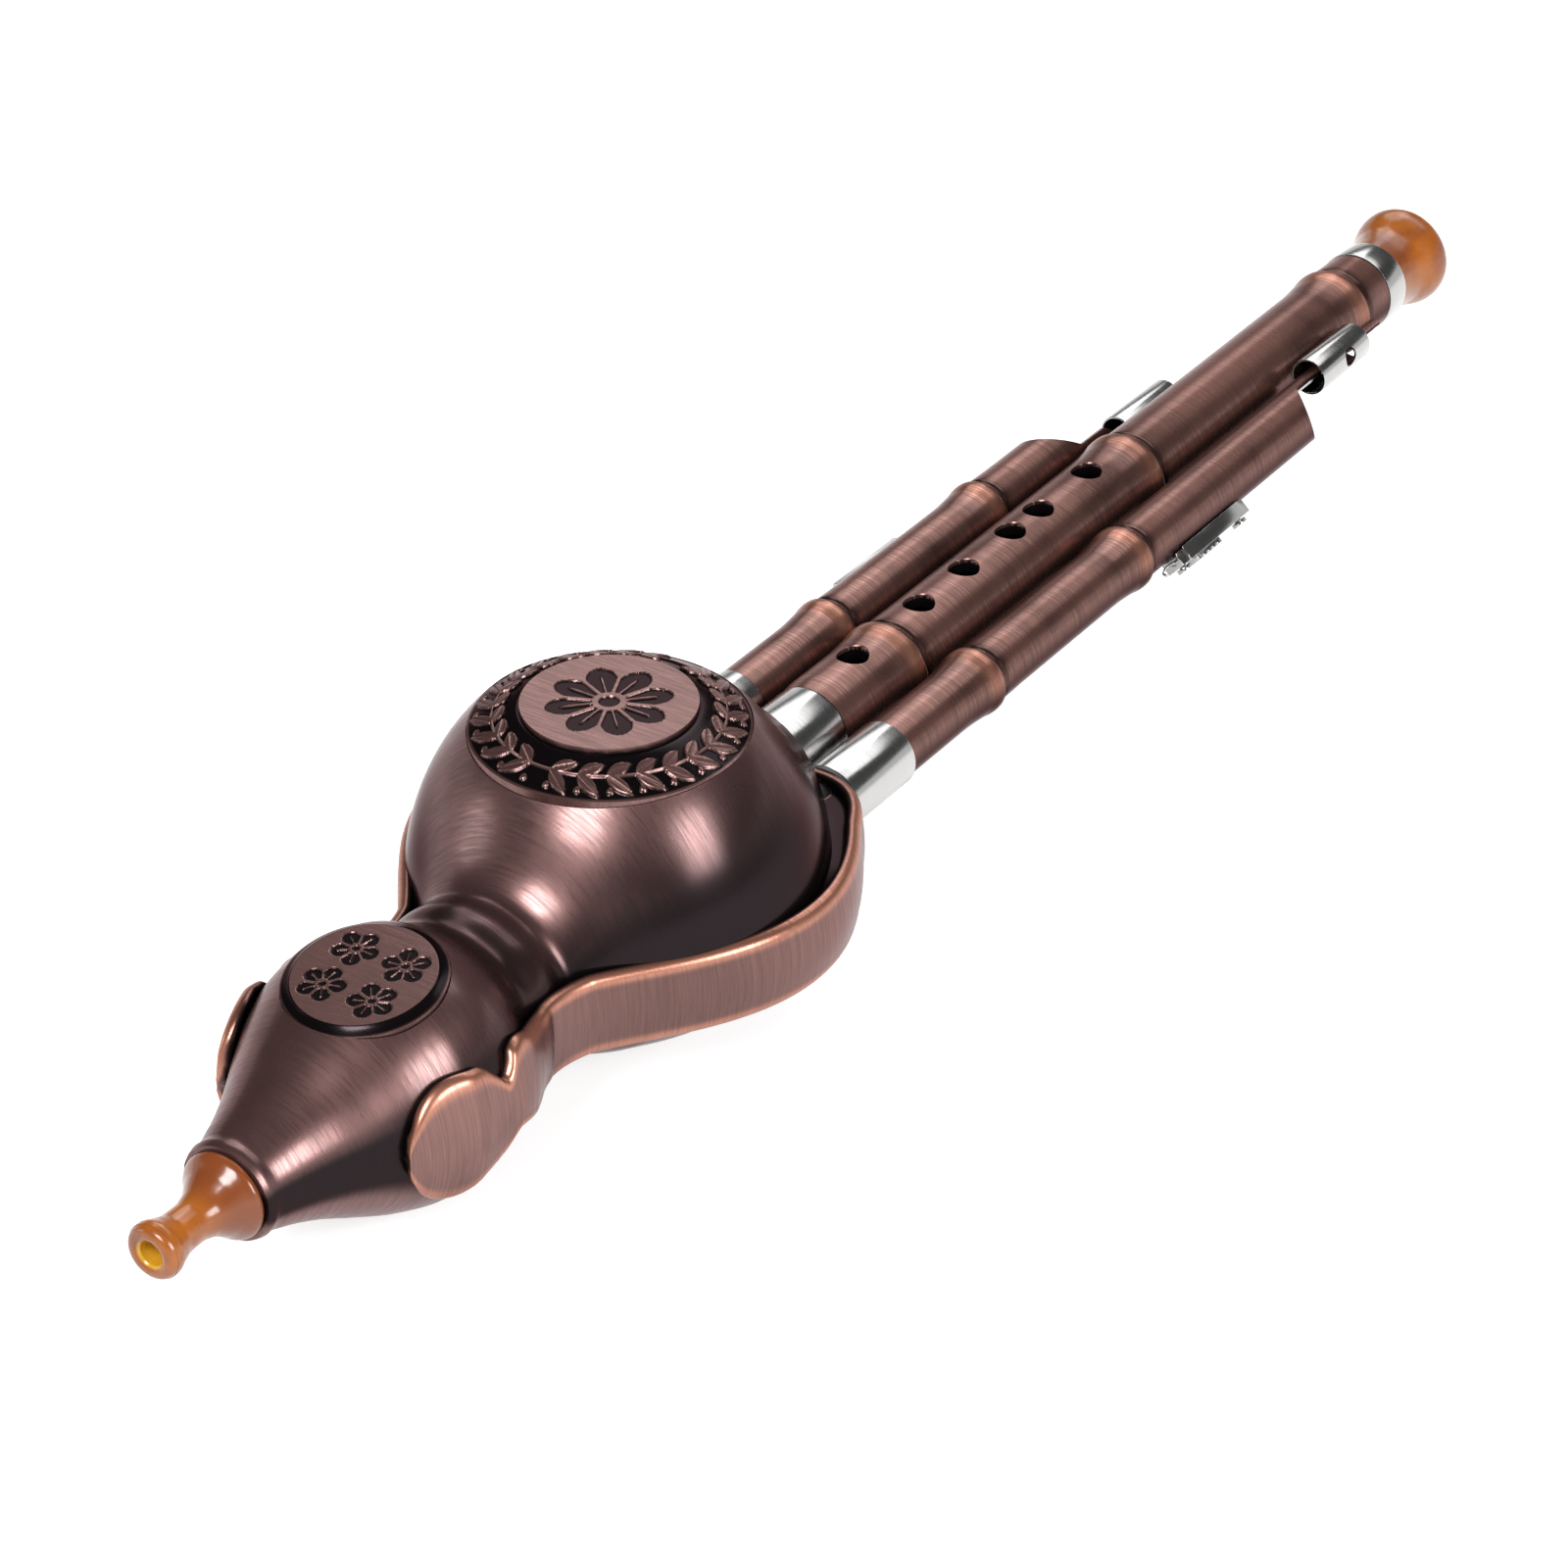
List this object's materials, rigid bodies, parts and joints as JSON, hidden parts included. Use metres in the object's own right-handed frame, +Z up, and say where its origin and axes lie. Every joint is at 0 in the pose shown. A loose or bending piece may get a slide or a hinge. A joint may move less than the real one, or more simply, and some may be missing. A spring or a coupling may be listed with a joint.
{
  "type": "hulusi",
  "caption": "Gourd-bodied free-reed pipe with a fingered main pipe, side drones, slide switches, tuning sleeves and a flared end.",
  "frame": {"origin": "middle of the object's length and width, on the flat face of the back medallion that it rests on", "axes": "+Y along the pipes towards the flared end, +Z up out of the finger holes, +X towards the long drone"},
  "size_m": [0.0876, 0.4474, 0.0653],
  "materials": {
    "copper_plating": "antique copper plating on moulded plastic, brushed",
    "nickel_plating": "polished nickel plating",
    "amber_resin": "polished amber-coloured resin",
    "black_plastic": "moulded",
    "brass": "satin",
    "cork": "cork",
    "rubber": "matt"
  },
  "bodies": {
    "gourd": {"gourd_front_shell": "copper_plating", "gourd_back_shell": "copper_plating", "large_medallion": "copper_plating", "back_medallion": "copper_plating", "small_medallion": "copper_plating", "pipe_socket_block": "black_plastic"},
    "mouthpiece": {"mouthpiece": "amber_resin", "mouthpiece_seal": "rubber"},
    "main_pipe": {"main_pipe": "copper_plating", "main_ferrule": "nickel_plating", "main_seal": "cork", "main_reed_holder": "brass", "main_reed": "brass", "bell_ferrule": "nickel_plating", "end_bell": "amber_resin"},
    "left_drone": {"left_drone_pipe": "copper_plating", "left_drone_liner": "nickel_plating", "left_drone_ferrule": "nickel_plating", "left_drone_seal": "cork", "left_reed_holder": "brass", "left_reed": "brass", "left_switch_base": "nickel_plating", "left_switch_near_screw": "nickel_plating", "left_switch_far_screw": "nickel_plating", "left_switch_spring": "nickel_plating"},
    "left_slider": {"left_switch_slider": "nickel_plating", "left_switch_pad": "rubber"},
    "left_sleeve": {"left_tuning_sleeve": "nickel_plating"},
    "right_drone": {"right_drone_pipe": "copper_plating", "right_drone_liner": "nickel_plating", "right_drone_ferrule": "nickel_plating", "right_drone_seal": "cork", "right_reed_holder": "brass", "right_reed": "brass", "right_switch_base": "nickel_plating", "right_switch_near_screw": "nickel_plating", "right_switch_far_screw": "nickel_plating", "right_switch_spring": "nickel_plating"},
    "right_slider": {"right_switch_slider": "nickel_plating", "right_switch_pad": "rubber"},
    "right_sleeve": {"right_tuning_sleeve": "nickel_plating"}
  },
  "joints": [
    {"name": "mouthpiece_pull", "type": "slide", "parent": "gourd", "child": "mouthpiece", "axis": [0, -1, 0], "range_m": [0, 0.012]},
    {"name": "main_pipe_pull", "type": "slide", "parent": "gourd", "child": "main_pipe", "axis": [0, 1, 0], "range_m": [0, 0.05]},
    {"name": "left_drone_pull", "type": "slide", "parent": "gourd", "child": "left_drone", "axis": [0, 1, 0], "range_m": [0, 0.025]},
    {"name": "left_switch_slide", "type": "slide", "parent": "left_drone", "child": "left_slider", "axis": [0, 1, 0], "range_m": [0, 0.006]},
    {"name": "left_sleeve_slide", "type": "slide", "parent": "left_drone", "child": "left_sleeve", "axis": [0, 1, 0], "range_m": [-0.004, 0.006]},
    {"name": "right_drone_pull", "type": "slide", "parent": "gourd", "child": "right_drone", "axis": [0, 1, 0], "range_m": [0, 0.025]},
    {"name": "right_switch_slide", "type": "slide", "parent": "right_drone", "child": "right_slider", "axis": [0, 1, 0], "range_m": [0, 0.006]},
    {"name": "right_sleeve_slide", "type": "slide", "parent": "right_drone", "child": "right_sleeve", "axis": [0, 1, 0], "range_m": [0, 0.006]}
  ]
}
